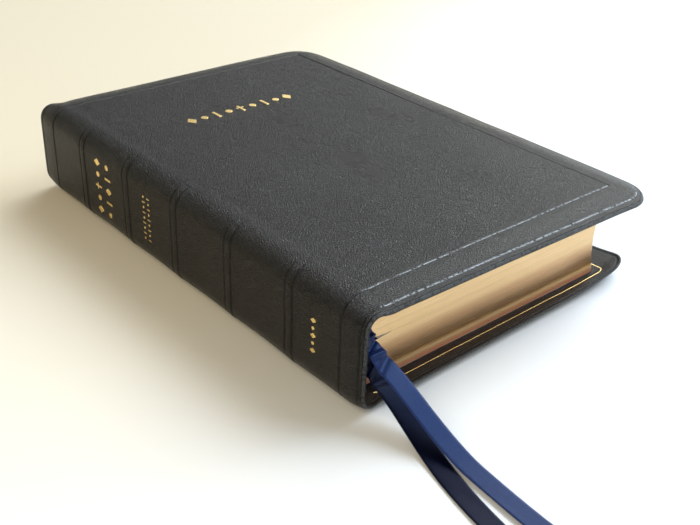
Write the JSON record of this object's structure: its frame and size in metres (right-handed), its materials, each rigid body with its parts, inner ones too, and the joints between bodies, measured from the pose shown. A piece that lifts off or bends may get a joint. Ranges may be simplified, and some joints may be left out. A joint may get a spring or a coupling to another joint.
{
  "type": "bible",
  "caption": "Hand-size bible in limp black leather, with gilt page edges, ribbed spine lines and two ribbon markers; its covers and pages open.",
  "frame": {"origin": "on the surface the book lies on, under the middle of the closed book", "axes": "+X from the spine to the fore-edge, +Y from the tail to the head, +Z from the back cover to the front cover"},
  "size_m": [0.1463, 0.2888, 0.0387],
  "materials": {
    "cover_leather": "pebbled black goatskin, soft sheen",
    "lining_leather": "smooth dark lining leather",
    "board": "grey flexible card",
    "hinge_cloth": "fine black cotton",
    "thread": "waxed linen",
    "endpaper": "cream laid paper",
    "gilt_pages": "thin cream paper with gilt edges",
    "blue_ribbon": "blue satin with a picot edge",
    "navy_ribbon": "navy satin with a picot edge"
  },
  "bodies": {
    "back_cover": {"back_cover_leather": "cover_leather", "back_cover_board": "board", "back_cover_lining": "lining_leather", "back_hinge_cloth": "hinge_cloth", "rear_flyleaf": "endpaper", "section_01": "gilt_pages", "section_01_sewing": "thread"},
    "back_shoulder": {"back_shoulder_leather": "cover_leather"},
    "spine": {"spine_leather": "cover_leather", "spine_liner": "board"},
    "front_shoulder": {"front_shoulder_leather": "cover_leather"},
    "front_joint": {"front_joint_leather": "cover_leather"},
    "front_cover": {"front_cover_leather": "cover_leather", "front_cover_board": "board", "front_cover_lining": "lining_leather", "front_hinge_cloth": "hinge_cloth"},
    "front_flyleaf": {"front_flyleaf": "endpaper"},
    "section_02": {"section_02": "gilt_pages", "section_02_sewing": "thread"},
    "section_03": {"section_03": "gilt_pages", "section_03_sewing": "thread"},
    "section_04": {"section_04": "gilt_pages", "section_04_sewing": "thread"},
    "section_05": {"section_05": "gilt_pages", "section_05_sewing": "thread"},
    "section_06": {"section_06": "gilt_pages", "section_06_sewing": "thread", "upper_ribbon_in_pages": "blue_ribbon", "lower_ribbon_in_pages": "navy_ribbon", "upper_ribbon_tail": "blue_ribbon", "lower_ribbon_tail": "navy_ribbon"},
    "section_07": {"section_07": "gilt_pages", "section_07_sewing": "thread"},
    "section_08": {"section_08": "gilt_pages", "section_08_sewing": "thread"},
    "section_09": {"section_09": "gilt_pages", "section_09_sewing": "thread"},
    "section_10": {"section_10": "gilt_pages", "section_10_sewing": "thread"},
    "section_11": {"section_11": "gilt_pages", "section_11_sewing": "thread"},
    "section_12": {"section_12": "gilt_pages", "section_12_sewing": "thread"}
  },
  "joints": [
    {"name": "section_02_shift", "type": "slide", "parent": "back_cover", "child": "section_02", "axis": [-1, 0, 0], "range_m": [0, 0.00241]},
    {"name": "section_03_shift", "type": "slide", "parent": "section_02", "child": "section_03", "axis": [-1, 0, 0], "range_m": [0, 0.00241]},
    {"name": "section_04_shift", "type": "slide", "parent": "section_03", "child": "section_04", "axis": [-1, 0, 0], "range_m": [0, 0.00241]},
    {"name": "section_05_shift", "type": "slide", "parent": "section_04", "child": "section_05", "axis": [-1, 0, 0], "range_m": [0, 0.00241]},
    {"name": "section_06_shift", "type": "slide", "parent": "section_05", "child": "section_06", "axis": [-1, 0, 0], "range_m": [0, 0.00241]},
    {"name": "book_open", "type": "hinge", "parent": "section_06", "child": "section_07", "pos_m": [-0.06616, 0, 0.02033], "axis": [0, -1, 0], "range_deg": [0, 180]},
    {"name": "section_08_shift", "type": "slide", "parent": "section_07", "child": "section_08", "axis": [1, 0, 0], "range_m": [0, 0.00241]},
    {"name": "section_09_shift", "type": "slide", "parent": "section_08", "child": "section_09", "axis": [1, 0, 0], "range_m": [0, 0.00241]},
    {"name": "section_10_shift", "type": "slide", "parent": "section_09", "child": "section_10", "axis": [1, 0, 0], "range_m": [0, 0.00241]},
    {"name": "section_11_shift", "type": "slide", "parent": "section_10", "child": "section_11", "axis": [1, 0, 0], "range_m": [0, 0.00241]},
    {"name": "section_12_shift", "type": "slide", "parent": "section_11", "child": "section_12", "axis": [1, 0, 0], "range_m": [0, 0.00241]},
    {"name": "back_shoulder_bend", "type": "hinge", "parent": "back_cover", "child": "back_shoulder", "pos_m": [-0.0607, 0, 0], "axis": [0, -1, 0], "range_deg": [0, 45.1]},
    {"name": "spine_bend", "type": "hinge", "parent": "back_shoulder", "child": "spine", "pos_m": [-0.0687, 0, 0.008], "axis": [0, -1, 0], "range_deg": [0, 45.1]},
    {"name": "front_shoulder_bend", "type": "hinge", "parent": "spine", "child": "front_shoulder", "pos_m": [-0.0687, 0, 0.03066], "axis": [0, -1, 0], "range_deg": [0, 45.1]},
    {"name": "front_joint_bend", "type": "hinge", "parent": "front_shoulder", "child": "front_joint", "pos_m": [-0.0607, 0, 0.03866], "axis": [0, -1, 0], "range_deg": [0, 45.1]},
    {"name": "front_cover_open", "type": "hinge", "parent": "front_joint", "child": "front_cover", "pos_m": [-0.0547, 0, 0.03886], "axis": [0, -1, 0], "range_deg": [0, 165]},
    {"name": "front_flyleaf_lift", "type": "hinge", "parent": "front_joint", "child": "front_flyleaf", "pos_m": [-0.0531, 0, 0.03526], "axis": [0, -1, 0], "range_deg": [0, 74.5]}
  ],
  "couplings": [
    {"joint": "section_02_shift", "follows": "book_open", "m_per_rad": 0.00076394},
    {"joint": "section_03_shift", "follows": "book_open", "m_per_rad": 0.00076394},
    {"joint": "section_04_shift", "follows": "book_open", "m_per_rad": 0.00076394},
    {"joint": "section_05_shift", "follows": "book_open", "m_per_rad": 0.00076394},
    {"joint": "section_06_shift", "follows": "book_open", "m_per_rad": 0.00076394},
    {"joint": "section_08_shift", "follows": "book_open", "m_per_rad": 0.00076394},
    {"joint": "section_09_shift", "follows": "book_open", "m_per_rad": 0.00076394},
    {"joint": "section_10_shift", "follows": "book_open", "m_per_rad": 0.00076394},
    {"joint": "section_11_shift", "follows": "book_open", "m_per_rad": 0.00076394},
    {"joint": "section_12_shift", "follows": "book_open", "m_per_rad": 0.00076394},
    {"joint": "back_shoulder_bend", "follows": "book_open", "ratio": 0.25},
    {"joint": "spine_bend", "follows": "book_open", "ratio": 0.25},
    {"joint": "front_shoulder_bend", "follows": "book_open", "ratio": 0.25},
    {"joint": "front_joint_bend", "follows": "book_open", "ratio": 0.25},
    {"joint": "front_flyleaf_lift", "follows": "front_cover_open", "ratio": 0.45}
  ]
}
